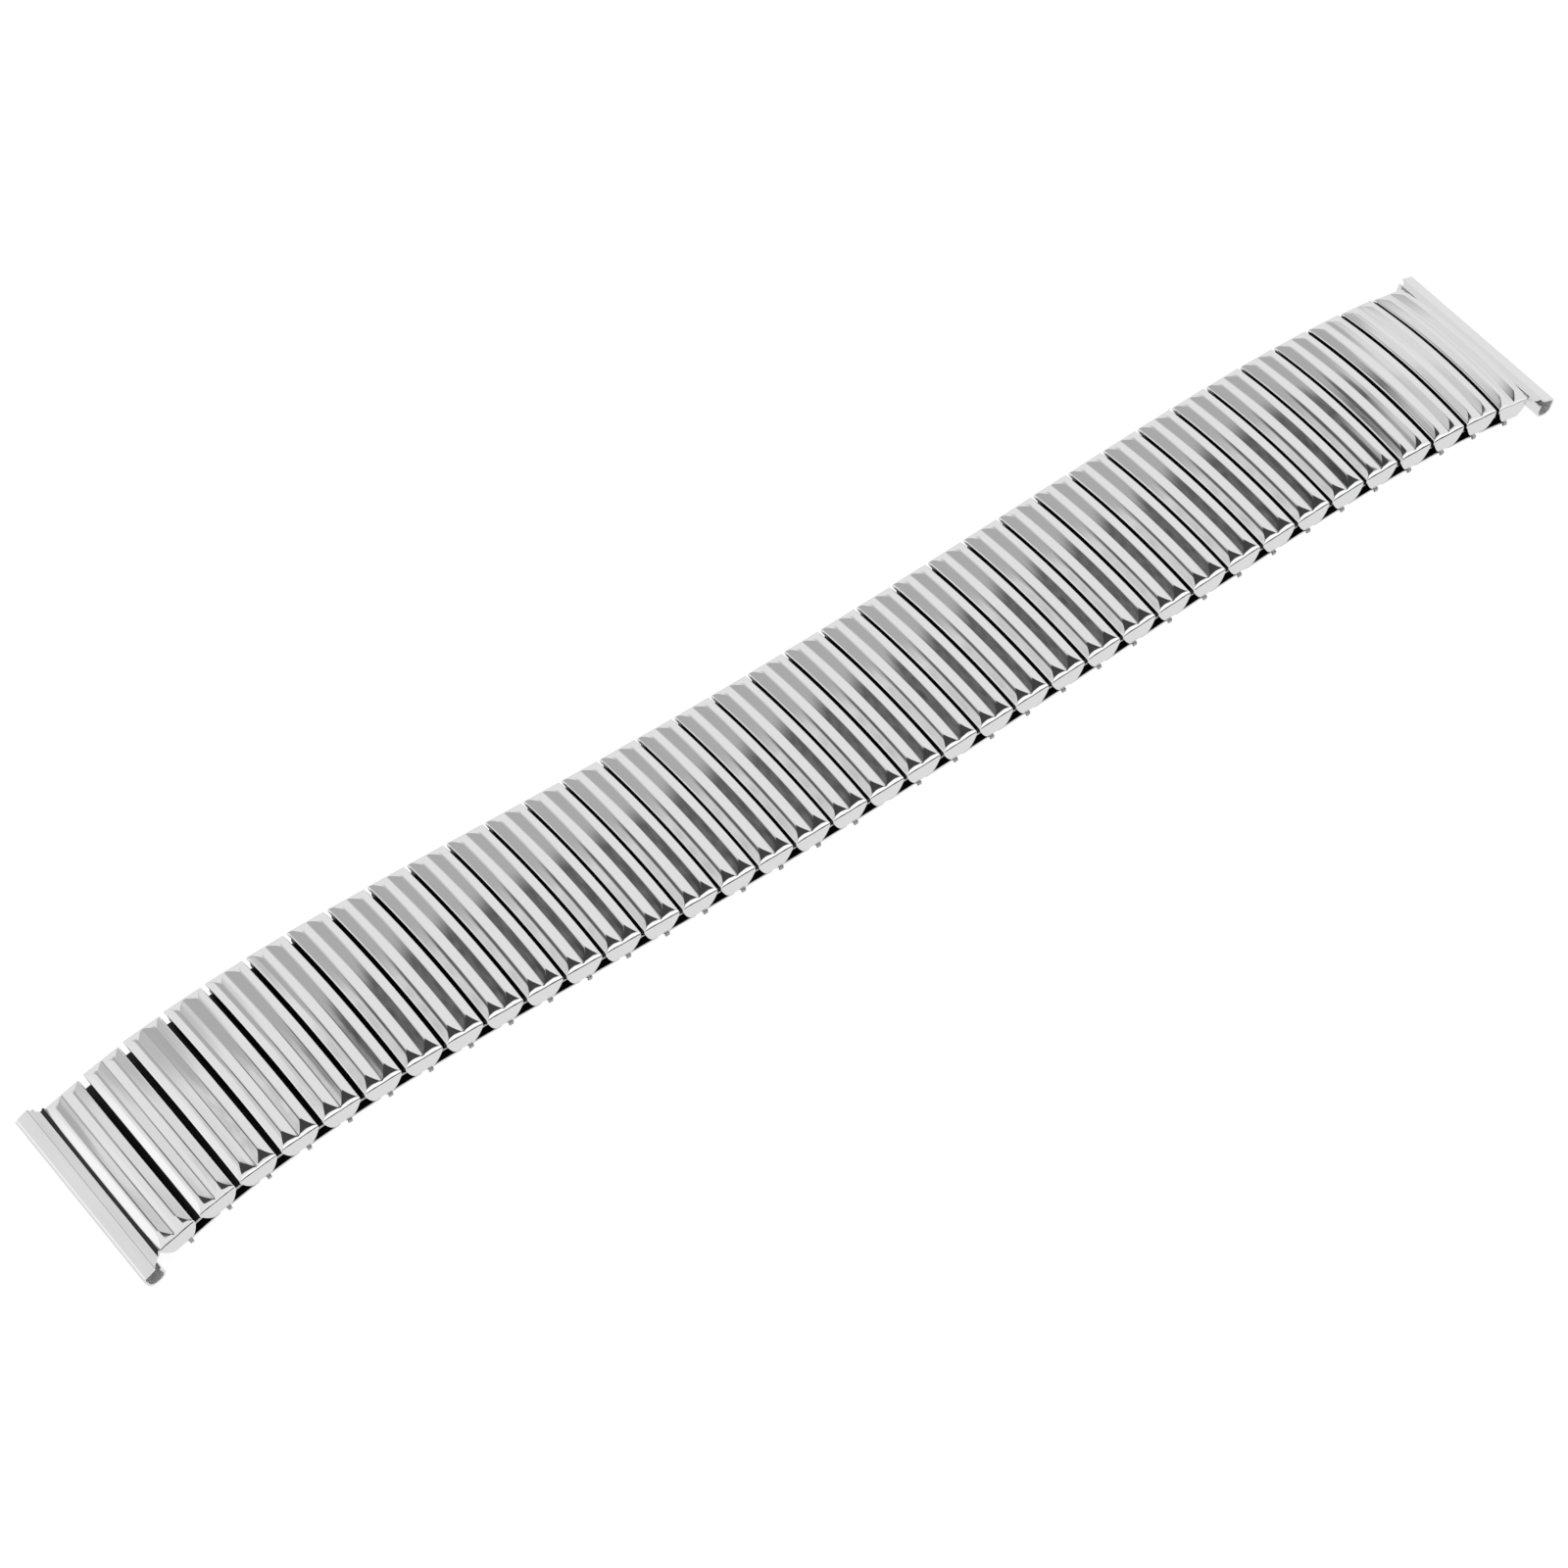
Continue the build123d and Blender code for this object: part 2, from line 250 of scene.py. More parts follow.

# %% [markdown]
# The floor is a white sheet. A diffuse white floor alone turns out pale grey, because it only gives back
# the light that falls on it. So the camera sees a sheet that glows almost white by itself and needs only a
# little of the light that falls on it to be full white. Where the band takes that light away, its shadow
# stays. The steel sees the sheet as a plain glow, a little below white.

# %% Lay the floor
FLOOR_SIZE_M = 4.0
FLOOR_GLOW = 0.93
FLOOR_TINT = 0.16
FLOOR_IN_STEEL = 0.88
PAPER = 0.9
floor_z = cad_box[0][2]


def floor_material():
    """A glowing sheet with a soft shadow to the camera, a plain glow in reflections, plain paper to all other
    light.
    """
    material = bpy.data.materials.new("white_paper")
    material.use_nodes = True
    tree = material.node_tree
    tree.nodes.clear()
    paper = add_node(tree, "ShaderNodeBsdfDiffuse")
    paper.inputs["Color"].default_value = (PAPER, PAPER, PAPER, 1)
    tint = add_node(tree, "ShaderNodeBsdfDiffuse")
    tint.inputs["Color"].default_value = (FLOOR_TINT, FLOOR_TINT, FLOOR_TINT, 1)
    glow = add_node(tree, "ShaderNodeEmission", inputs={"Strength": FLOOR_GLOW})
    sheet = add_node(tree, "ShaderNodeAddShader")
    tree.links.new(tint.outputs[0], sheet.inputs[0])
    tree.links.new(glow.outputs[0], sheet.inputs[1])
    mirrored = add_node(tree, "ShaderNodeEmission", inputs={"Strength": FLOOR_IN_STEEL})
    path = add_node(tree, "ShaderNodeLightPath")
    result = paper
    for ray_kind, shader in (("Is Glossy Ray", mirrored), ("Is Camera Ray", sheet)):
        mix = add_node(tree, "ShaderNodeMixShader")
        tree.links.new(path.outputs[ray_kind], mix.inputs[0])
        tree.links.new(result.outputs[0], mix.inputs[1])
        tree.links.new(shader.outputs[0], mix.inputs[2])
        result = mix
    tree.links.new(result.outputs[0], add_node(tree, "ShaderNodeOutputMaterial").inputs[0])
    return material


def lay_floor():
    """A square sheet just under the band."""
    half = FLOOR_SIZE_M / 2
    mesh = bpy.data.meshes.new("floor")
    corners = [(x, y, floor_z) for x, y in ((-half, -half), (half, -half), (half, half), (-half, half))]
    mesh.from_pydata(corners, [], [(0, 1, 2, 3)])
    mesh.materials.append(floor_material())
    floor = bpy.data.objects.new("floor", mesh)
    bpy.context.scene.collection.objects.link(floor)
    return floor


lay_floor()
print("floor at", round(floor_z / MM, 3), "mm")

# %% [markdown]
# ## The steel
# The band is one metal in a few finishes. Polished covers are a mirror with the faintest lines, left by the
# wheel that wiped across the band, and the thin sheet is never quite even: slow waves and finer ripples in
# it make the reflections waver. These effects serve every finish, so they are one node group with its
# strengths as inputs. The group puts out a height for the Bump node and a roughness, and the Principled
# shader stays in each material. Inside the sleeves, under the covers, in the lug's crease and between the
# links, where shade falls, the steel is painted nearly black as painted shade. That is one more finish of the
# same group.

# %% The wiped steel group
LINE_STRETCH = (1, 0.03, 1)
WAVE_STRETCH = (1, 0.6, 1)
RIPPLE_STRETCH = (1, 0.14, 1)
NO_STRETCH = (1, 1, 1)
RIPPLES_PER_WAVE = 6.0
PATCH_GAIN = 2.0


def group_socket(group, name, direction_word, value=None):
    """Adds one value socket to a node group's interface."""
    socket = group.interface.new_socket(name=name, in_out=direction_word, socket_type="NodeSocketFloat")
    if value is not None:
        socket.default_value = value
    return socket


def stretched_noise(tree, stretch, scale, detail):
    """Noise in object space, stretched by a factor along each axis."""
    place = add_node(tree, "ShaderNodeMapping", inputs={"Scale": stretch})
    tree.links.new(add_node(tree, "ShaderNodeTexCoord").outputs["Object"], place.inputs["Vector"])
    noise = add_node(tree, "ShaderNodeTexNoise", inputs={"Detail": detail})
    tree.links.new(place.outputs[0], noise.inputs["Vector"])
    tree.links.new(scale, noise.inputs["Scale"])
    return noise.outputs[0]


def wiped_steel_group():
    """Lines across the band, waviness of the sheet and patchy polish, as a height and a roughness."""
    group = bpy.data.node_groups.new("wiped_steel", "ShaderNodeTree")
    group_socket(group, "Line Scale", "INPUT", 6000)
    group_socket(group, "Line Height", "INPUT", 0.02)
    group_socket(group, "Wave Scale", "INPUT", 160)
    group_socket(group, "Wave Height", "INPUT", 1.0)
    group_socket(group, "Ripple Height", "INPUT", 0.45)
    group_socket(group, "Smooth", "INPUT", 0.06)
    group_socket(group, "Rough", "INPUT", 0.16)
    group_socket(group, "Height", "OUTPUT")
    group_socket(group, "Roughness", "OUTPUT")
    given = add_node(group, "NodeGroupInput")
    lines = stretched_noise(group, LINE_STRETCH, given.outputs["Line Scale"], detail=3)
    waves = stretched_noise(group, WAVE_STRETCH, given.outputs["Wave Scale"], detail=1)
    ripple_scale = math_node(group, "MULTIPLY", given.outputs["Wave Scale"], RIPPLES_PER_WAVE)
    ripples = stretched_noise(group, RIPPLE_STRETCH, ripple_scale, detail=1)
    patches = stretched_noise(group, NO_STRETCH, given.outputs["Wave Scale"], detail=4)
    line_height = math_node(group, "MULTIPLY", lines, given.outputs["Line Height"])
    wave_height = math_node(group, "MULTIPLY", waves, given.outputs["Wave Height"])
    ripple_height = math_node(group, "MULTIPLY", ripples, given.outputs["Ripple Height"])
    height = math_node(group, "ADD", math_node(group, "ADD", line_height, wave_height), ripple_height)
    spread = math_node(group, "SUBTRACT", given.outputs["Rough"], given.outputs["Smooth"])
    mixed = math_node(group, "MULTIPLY", math_node(group, "MULTIPLY", lines, patches), PATCH_GAIN)
    roughness = math_node(group, "ADD", given.outputs["Smooth"], math_node(group, "MULTIPLY", mixed, spread))
    result = add_node(group, "NodeGroupOutput")
    group.links.new(height, result.inputs["Height"])
    group.links.new(roughness, result.inputs["Roughness"])
    return group


wiped_steel = wiped_steel_group()
print("group", wiped_steel.name, "with", len(wiped_steel.nodes), "nodes")

# %% The finishes
FINISHES = {
    "cover_steel": {"colour": 0.80, "Line Height": 0.02, "Smooth": 0.05, "Rough": 0.11},
    "lug_steel": {"colour": 0.80, "Line Height": 0.03, "Smooth": 0.08, "Rough": 0.16},
    "sleeve_steel": {"colour": 0.72, "Line Height": 0.10, "Smooth": 0.22, "Rough": 0.42},
    # The nearly black finish below is painted shade: steel darkened where shade falls, inside the sleeves,
    # under the covers and in the lug's crease.
    "painted_shade_steel": {"colour": 0.03, "Line Height": 0.10, "Smooth": 0.40, "Rough": 0.60},
    # The springs' dark colour below is painted shade: they lie inside the sleeves, where shade falls.
    "spring_steel": {"colour": 0.20, "Line Height": 0.08, "Smooth": 0.26, "Rough": 0.46},
    "lug_bore": {"colour": 0.80, "Line Height": 0.10, "Smooth": 0.55, "Rough": 0.80},
    "staple_steel": {"colour": 0.40, "Line Height": 0.04, "Smooth": 0.12, "Rough": 0.26},
}
BUMP_DISTANCE_M = 0.00002


def steel(name, finish):
    """One finish of steel: a Principled metal fed by the wiped steel group."""
    material = bpy.data.materials.new(name)
    material.use_nodes = True
    tree = material.node_tree
    tree.nodes.clear()
    wiped = add_node(tree, "ShaderNodeGroup", {"node_tree": wiped_steel})
    for key, value in finish.items():
        if key in wiped.inputs:
            wiped.inputs[key].default_value = value
    shader = add_node(tree, "ShaderNodeBsdfPrincipled", inputs={"Metallic": 1.0})
    shader.inputs["Base Color"].default_value = (finish["colour"], finish["colour"], finish["colour"], 1)
    bump = add_node(tree, "ShaderNodeBump", inputs={"Strength": 1.0, "Distance": BUMP_DISTANCE_M})
    tree.links.new(wiped.outputs["Height"], bump.inputs["Height"])
    tree.links.new(wiped.outputs["Roughness"], shader.inputs["Roughness"])
    tree.links.new(bump.outputs[0], shader.inputs["Normal"])
    tree.links.new(shader.outputs[0], add_node(tree, "ShaderNodeOutputMaterial").inputs[0])
    return material


finishes = {name: steel(name, finish) for name, finish in FINISHES.items()}
print("finishes", sorted(finishes))

# %% [markdown]
# ## Where the links are
# The CAD model holds a chain. Each slide joint points along its link, away from the middle, and the first
# hinge lies under the middle link. Walking out from there, one pitch at a time, gives a small frame of axes
# for every link: out along the band, to the side across it, and up through the cover. All pieces are drawn
# once in such a frame, in millimetres, and then placed by its matrix, so they follow the CAD model exactly.

# %% Walk along the chain
PITCH = 4.18
SLEEVE_HEIGHT = 1.05
ROW_CLEARANCE = 0.08
BOTTOM_ROW_Z = -ROW_CLEARANCE - SLEEVE_HEIGHT
joints = {joint["name"]: joint for joint in frame["joints"]}
top_links = [body for body in frame["bodies"] if body.startswith("top_link_")]
LINK_COUNT = len(top_links) + 1
MIDDLE = (LINK_COUNT + 1) // 2


def place_matrix(origin, out, side, up):
    """The matrix from a link's own millimetres to the frame's metres."""
    turn = Matrix((out, side, up)).transposed().to_4x4()
    return Matrix.Translation(origin) @ turn @ Matrix.Scale(MM, 4)


def chain_places():
    """The place of every top link and, by the number of its gap, of every bottom link."""
    pin = Vector(joints[f"bend_{MIDDLE:02d}"]["pos_m"])
    low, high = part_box("middle_sleeve")
    up = ((low + high) / 2 - pin).normalized()
    origin = pin - up * BOTTOM_ROW_Z * MM
    side = Vector((0, 1, 0))
    tops = {MIDDLE: (origin, side.cross(up), side, up)}
    bottoms = {}
    for way in (1, -1):
        side = Vector((0, way, 0))
        here, _, _, here_up = tops[MIDDLE]
        for step in range(1, MIDDLE):
            number = MIDDLE + way * step
            gap = min(number, number - way)
            out = Vector(joints[f"stretch_{gap:02d}"]["axis"]).normalized()
            up = out.cross(side)
            start = here + (here_up - up) * BOTTOM_ROW_Z * MM
            bottoms[gap] = (start, out, side, up)
            here, here_up = start + out * PITCH * MM, up
            tops[number] = (here, out, side, up)
    return tops, bottoms


tops, bottoms = chain_places()
print("links", len(tops), "gaps", len(bottoms))
print("ends at", [round(tops[number][0].x / MM, 2) for number in (1, LINK_COUNT)], "mm")

# %% [markdown]
# ## Tools for folded sheet
# Every piece of this band is bent from thin strip, so three small tools make nearly all of it. The first
# rounds the corners of a line with arcs, as a press tool does, and keeps a point just outside each arc so
# that flats stay flat when they are shaded smoothly. The second turns grids of points into quads, and welds
# them into one closed mesh. The third places that mesh on its link, hands it to its body and hides the CAD
# node that it stands for. Some kinds of piece have a second finish: a duller skin where the wheel doesn't
# reach, or steel painted nearly black as painted shade where shade falls. A rule for each picks those faces.

# %% Rounded lines
HOLD = 0.02


def rounded(corners, steps=5):
    """Points along a line whose inner corners (x, z, radius) are arcs."""
    points = [Vector(corners[0][:2])]
    for before, corner, after in zip(corners, corners[1:], corners[2:]):
        here = Vector(corner[:2])
        back = (Vector(before[:2]) - here).normalized()
        ahead = (Vector(after[:2]) - here).normalized()
        half = back.angle(ahead) / 2
        reach = corner[2] / math.tan(half)
        middle = here + (back + ahead).normalized() * corner[2] / math.sin(half)
        first, last = here + back * reach, here + ahead * reach
        points.append(first + back * HOLD)
        for k in range(steps + 1):
            ray = (first - middle).lerp(last - middle, k / steps)
            points.append(middle + ray.normalized() * corner[2])
        points.append(last + ahead * HOLD)
    points.append(Vector(corners[-1][:2]))
    return [tuple(point) for point in points]


def offset_line(points, distance):
    """The line moved sideways, to the left of its own direction."""
    moved = []
    for k, point in enumerate(points):
        before, after = Vector(points[max(k - 1, 0)]), Vector(points[min(k + 1, len(points) - 1)])
        along = (after - before).normalized()
        moved.append((point[0] - along.y * distance, point[1] + along.x * distance))
    return moved


print("a square corner of radius 1 takes", len(rounded([(0, 0), (5, 0, 1), (5, 5)])), "points")

# %% Grids into meshes
WELD_MM = 0.0004
SHARP_DEGREES = 38
FACING = 0.5
CAD_COVER_GAP = 0.3
LUG_START_X = (PITCH - CAD_COVER_GAP) / 2
CREASE_REACH = 0.30
CREASE_X = LUG_START_X + CREASE_REACH
CREASE_HALF_WIDTH = 0.07


def out_of_sight(face, grid_number):
    """True for all but a tube's underside and the rims at its two ends; these faces are painted nearly black
    as painted shade.
    """
    return face.normal.z > -FACING and abs(face.normal.y) < FACING


def inside(face, grid_number):
    """True for the inner skin, which is always a piece's second grid."""
    return grid_number == 1


def in_crease(face, grid_number):
    """The lug's groove, painted nearly black as painted shade."""
    return grid_number == 0 and face.calc_center_median().x < CREASE_X + CREASE_HALF_WIDTH


OTHER_FINISHES = {
    # Covers: the inner skin gets the nearly black finish, painted shade under the cover.
    "cover": [("painted_shade_steel", inside)],
    "rolled_lug": [("lug_bore", inside), ("painted_shade_steel", in_crease)],
    # Bottom sleeves: the faces picked by out_of_sight get the nearly black finish, as painted shade.
    "bottom_sleeve": [("painted_shade_steel", out_of_sight)],
}


def sheet_mesh(name, grids, place, finish, others):
    """One closed mesh from grids of points in a link's millimetres, placed on the link."""
    shape = bmesh.new()
    grid_number = shape.faces.layers.int.new("grid_number")
    for number, grid in enumerate(grids):
        rows = [[shape.verts.new(point) for point in row] for row in grid]
        for row, next_row in zip(rows, rows[1:]):
            for k in range(len(row) - 1):
                face = shape.faces.new((row[k], row[k + 1], next_row[k + 1], next_row[k]))
                face[grid_number] = number
    bmesh.ops.remove_doubles(shape, verts=shape.verts, dist=WELD_MM)
    bmesh.ops.dissolve_degenerate(shape, edges=shape.edges, dist=WELD_MM)
    bmesh.ops.recalc_face_normals(shape, faces=shape.faces)
    for index, (_, belongs) in enumerate(others, 1):
        for face in shape.faces:
            if belongs(face, face[grid_number]):
                face.material_index = index
    shape.faces.layers.int.remove(grid_number)
    shape.transform(place_matrix(*place))
    mesh = bpy.data.meshes.new(name)
    shape.to_mesh(mesh)
    shape.free()
    mesh.shade_smooth()
    mesh.set_sharp_from_angle(angle=math.radians(SHARP_DEGREES))
    for used in (finish, *(other for other, _ in others)):
        mesh.materials.append(finishes[used])
    return mesh


def fit_piece(name, grids, place, finish, body, node):
    """Makes a piece, lets it ride on its body and hides the CAD node that it stands for."""
    kind = name.rsplit("_", 1)[0]
    mesh = sheet_mesh(name, grids, place, finish, OTHER_FINISHES.get(kind, []))
    piece = bpy.data.objects.new(name, mesh)
    bpy.context.scene.collection.objects.link(piece)
    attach(piece, body)
    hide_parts(node)
    return piece


print("welding points closer than", WELD_MM, "mm")

# %% [markdown]
# ## The covers
# What one sees of such a band is its covers. Each is a small lid of polished sheet: two ridges run across
# the band with a sharp valley between them, the top is gently crowned, and at both sides the sheet slopes,
# folds over and hangs down as a flat flap with round corners. A box with bevels can't make that, because
# the ridges die out on the sloping ends in pointed arches. So the cover is a grid. Its columns follow the
# ridged section, and each column walks over the crown until it meets the end surface, then down its slope,
# round the roll and down the flap. Where the two surfaces meet, the column turns on a short smooth curve,
# and the arches draw themselves. Pressed covers aren't even: the edge at the picture's left is lower than
# the other, but not on the last three at the right.

# %% Sizes of a cover
COVER_GAP = 0.33
COVER_LENGTH = PITCH - COVER_GAP
COVER_WIDTH = 18.0
COVER_SHEET = 0.15
CROWN_RADIUS = 60.0
RIDGE_HEIGHT = 0.3
LEFT_EDGE_DROP = 0.17
RIGHT_EDGE_DROP = 0.05
SEAT_CLEARANCE = 0.03
SKIRT_Z = SLEEVE_HEIGHT + SEAT_CLEARANCE
SLEEVE_INSET = 0.5
SLEEVE_WIDTH = COVER_WIDTH - 2 * SLEEVE_INSET
CROWN_RISE = CROWN_RADIUS - math.sqrt(CROWN_RADIUS**2 - (SLEEVE_WIDTH / 2) ** 2)
COVER_EDGE_Z = SKIRT_Z + COVER_SHEET + CROWN_RISE
FLAP_TOP_Z = 0.93
FLAP_DROP = 0.75
FLAP_CORNER = 1.1
FLAP_CORNER_RISE = 1.55
FLAP_CORNER_POWER = 1.8
print("cover", COVER_LENGTH, "x", COVER_WIDTH, "mm, valley at", round(COVER_EDGE_Z, 3), "mm")

# %% The ridged section of a cover
RIDGE_ROUND = 0.42
VALLEY_ROUND = 0.30
EDGE_ROUND = 0.21
HIP_SHARE = 0.67
HIP_HEIGHT_SHARE = 0.62
HIP_ROUND = 1.3
BULGE = 0.010
BULGE_ROUND = 6.0
COLUMN_SPACING = 0.11


def finely_spaced(points, longest):
    """The same line with more points, so that none of its steps is longer than this."""
    line = [points[0]]
    for start, end in zip(points, points[1:]):
        steps = math.ceil((Vector(end) - Vector(start)).length / longest)
        line += [tuple(Vector(start).lerp(Vector(end), k / steps)) for k in range(1, steps + 1)]
    return line


def half_section(drop):
    """One ridge (x, height, radius), from the valley to an edge that lies this far below the valley."""
    half = COVER_LENGTH / 2
    return [
        (half / 4, RIDGE_HEIGHT / 2 + BULGE, BULGE_ROUND),
        (half / 2, RIDGE_HEIGHT, RIDGE_ROUND),
        (half * HIP_SHARE, RIDGE_HEIGHT * HIP_HEIGHT_SHARE, HIP_ROUND),
        (half, -drop, EDGE_ROUND),
        (half, -drop - 2 * EDGE_ROUND, 0),
    ]


def ridged_section(drops):
    """Columns (x, height) over both ridges, from one edge's turn to the other's."""
    left = [(-x, height, radius) for x, height, radius in reversed(half_section(drops[0]))]
    line = rounded(left + [(0, 0, VALLEY_ROUND)] + half_section(drops[1]), steps=4)
    return finely_spaced(line[1:-1], COLUMN_SPACING)


print("columns", len(ridged_section((LEFT_EDGE_DROP, RIGHT_EDGE_DROP))))

# %% [markdown]
# The end of the cover, seen from the side, is three arcs: a long gentle slope, a roll over the shoulder,
# and a tight bend into the flap. The angle of the surface's normal is the one number that walks along all
# three, so the place where a column leaves the crown is found by halving that angle's range.

# %% The end surface of a cover
FOLD_TURN = 30
ROLL_TURN = 69.6
FOLD_RADIUS = 0.12
ROLL_RADIUS = 0.62
ROLL_SWELL = 0.28
END_RADIUS = 6.0


def ray(turn):
    """The direction (y, z) that leans this far up from level."""
    return Vector((math.cos(turn), math.sin(turn)))


def end_arcs(share):
    """Radius, first angle and last angle of each arc. The roll is larger under a ridge, where share is 1."""
    roll = ROLL_RADIUS + ROLL_SWELL * share
    top = END_RADIUS + ROLL_RADIUS + ROLL_SWELL - roll
    turns = [math.radians(angle) for angle in (0, FOLD_TURN, ROLL_TURN, 90)]
    return list(zip((FOLD_RADIUS, roll, top), turns, turns[1:]))


def end_point(turn, inset, share):
    """The point (y, z) on the end surface whose normal leans up by this angle, moved inward by the inset."""
    point = Vector((COVER_WIDTH / 2, FLAP_TOP_Z))
    for radius, first, last in end_arcs(share):
        point += (ray(min(max(turn, first), last)) - ray(first)) * radius
    return point - ray(turn) * inset


def end_radius(turn, share):
    """The radius of the end surface at this angle."""
    return next(radius for radius, _, last in end_arcs(share) if turn <= last)


print("the roll ends at", [round(v, 2) for v in end_point(math.radians(ROLL_TURN), 0, 1)], "mm")

# %% One column over the cover
CREASE_ROUND = 0.06
CROWN_SHARES = (0, 0.2, 0.4, 0.58, 0.72, 0.83, 0.91, 0.96, 1)
BEND_SHARES = (0.2, 0.5, 0.8)
END_SHARES = (1, 0.96, 0.92, 0.88, 0.84, 0.76, 0.66, 0.56, 0.47, 0.38, 0.28, 0.18, 0.09, 0)
FLAP_SHARES = (0.06, 0.3, 0.6, 0.93, 1)
HALVINGS = 40


def crown_height(y, lift):
    """The crown's height at y, lifted or sunk by a column's own height."""
    return COVER_EDGE_Z - CROWN_RADIUS + math.sqrt(CROWN_RADIUS**2 - y * y) + lift


def flap_foot(x):
    """The flap's lower edge: level in the middle, and swept up to each side almost to the fold."""
    into_corner = max(abs(x) - COVER_LENGTH / 2 + FLAP_CORNER, 0) / FLAP_CORNER
    return FLAP_CORNER_RISE * into_corner**FLAP_CORNER_POWER - FLAP_DROP


def column_path(x, lift, inset, share):
    """Points (y, z) from the middle of the cover to the flap's foot, for one column."""
    low, high = 0.0, math.pi / 2
    for _ in range(HALVINGS):
        turn = (low + high) / 2
        point = end_point(turn, inset, share)
        low, high = (turn, high) if crown_height(point.x, lift) > point.y else (low, turn)
    meet = end_point(turn, inset, share)
    leave = turn - min(CREASE_ROUND / end_radius(turn, share), turn / 2)
    on_end = end_point(leave, inset, share)
    on_crown_y = meet.x - CREASE_ROUND
    on_crown = Vector((on_crown_y, crown_height(on_crown_y, lift)))
    path = [Vector((on_crown_y * part, crown_height(on_crown_y * part, lift))) for part in CROWN_SHARES]
    path += [on_crown.lerp(meet, part).lerp(meet.lerp(on_end, part), part) for part in BEND_SHARES]
    path += [end_point(leave * part, inset, share) for part in END_SHARES]
    flap_y, rise = COVER_WIDTH / 2 - inset, flap_foot(x) - FLAP_TOP_Z
    path += [Vector((flap_y, FLAP_TOP_Z + rise * part)) for part in FLAP_SHARES]
    return path


TOP_ROWS = len(CROWN_SHARES) + len(BEND_SHARES)
print("rows in half a column", len(column_path(0, 0, 0, 0)))

# %% The whole cover
LUG_SHEET = 0.2
TONGUE_INSET = 3.0
SLOT_SIDE_CLEARANCE = 0.03
SLOT_TOP_CLEARANCE = 0.12
SLOT_HALF_WIDTH = COVER_WIDTH / 2 - TONGUE_INSET + SLOT_SIDE_CLEARANCE
SLOT_Z = SKIRT_Z + LUG_SHEET + SLOT_TOP_CLEARANCE


def cover_column(x, lift, inset, share, foot_z=None):
    """A whole column, from one flap's foot to the other's. A skirt's column hangs down to foot_z."""
    half = column_path(x, lift, inset, share)
    if foot_z is not None:
        half = [Vector((p.x, min(p.y, foot_z(p.x)))) if k < TOP_ROWS else p for k, p in enumerate(half)]
    near = [(x, -p.x, p.y) for p in reversed(half)]
    return near[:-1] + [(x, p.x, p.y) for p in half]


def plain_foot(y):
    """A skirt ends just above its sleeve."""
    return SKIRT_Z


def slotted_foot(y):
    """The last cover's outer skirt leaves a slot for the lug's tongue."""
    return SLOT_Z if y < SLOT_HALF_WIDTH else SKIRT_Z


def cover_grids(outer_foot, drops):
    """The outer and inner skins of a cover and the narrow rims between them."""
    half = COVER_LENGTH / 2
    outer, inner = [], []
    for x, height in ridged_section(drops):
        drop = drops[0] if x < 0 else drops[1]
        share = max(height, -drop) / RIDGE_HEIGHT
        outer.append(cover_column(x, height, max(-height - drop, 0), share))
        inner_x = max(-half + COVER_SHEET, min(half - COVER_SHEET, x))
        inner.append(cover_column(inner_x, max(height, -drop) - COVER_SHEET, COVER_SHEET, share))
    for side, foot, drop in ((-1, plain_foot, drops[0]), (1, outer_foot, drops[1])):
        lift, share = -drop - COVER_SHEET, -drop / RIDGE_HEIGHT
        out = cover_column(side * half, lift, COVER_SHEET, share, foot)
        back = cover_column(side * (half - COVER_SHEET), lift, COVER_SHEET, share, foot)
        place = 0 if side < 0 else len(outer)
        outer.insert(place, out)
        inner.insert(place, back)
    outer_rows, inner_rows = list(zip(*outer)), list(zip(*inner))
    rims = [(outer_rows[k], inner_rows[k]) for k in (0, -1)] + [(outer[k], inner[k]) for k in (0, -1)]
    return [outer_rows, inner_rows, *rims]


RIGHT_DROPS = (LEFT_EDGE_DROP, RIGHT_EDGE_DROP)
LEFT_DROPS = (RIGHT_EDGE_DROP, LEFT_EDGE_DROP)
FLAT_DROPS = (RIGHT_EDGE_DROP, RIGHT_EDGE_DROP)
covers = {
    (drops, foot): cover_grids(foot, drops)
    for drops in (RIGHT_DROPS, LEFT_DROPS, FLAT_DROPS)
    for foot in (plain_foot, slotted_foot)
}
quads = [(len(grid) - 1) * (len(grid[0]) - 1) for grid in covers[RIGHT_DROPS, plain_foot]]
print("quads in a cover", sum(quads))

# %% [markdown]
# ## The sleeves
# Under the covers lie two rows of flat tubes, half a pitch apart. They are folded from brushed strip and
# are open at both sides of the band, which is where the staples go in. A tube of sheet is a closed line,
# rounded at its four corners, and the same line moved inward by the sheet's thickness. The mouths of the
# lower tubes are cut at a slant, so that their floors show a little under the covers' flaps.

# %% Draw a sleeve
SLEEVE_SHEET = 0.15
SLEEVE_ROUND = 0.3
MOUTH_CHAMFER = 0.03
BOTTOM_FLOOR_END = 8.9
TOP_SLEEVE_GAP = 0.48
BOTTOM_SLEEVE_GAP = 0.3
TOP_SLEEVE_LENGTH = PITCH - TOP_SLEEVE_GAP
BOTTOM_SLEEVE_LENGTH = PITCH - BOTTOM_SLEEVE_GAP


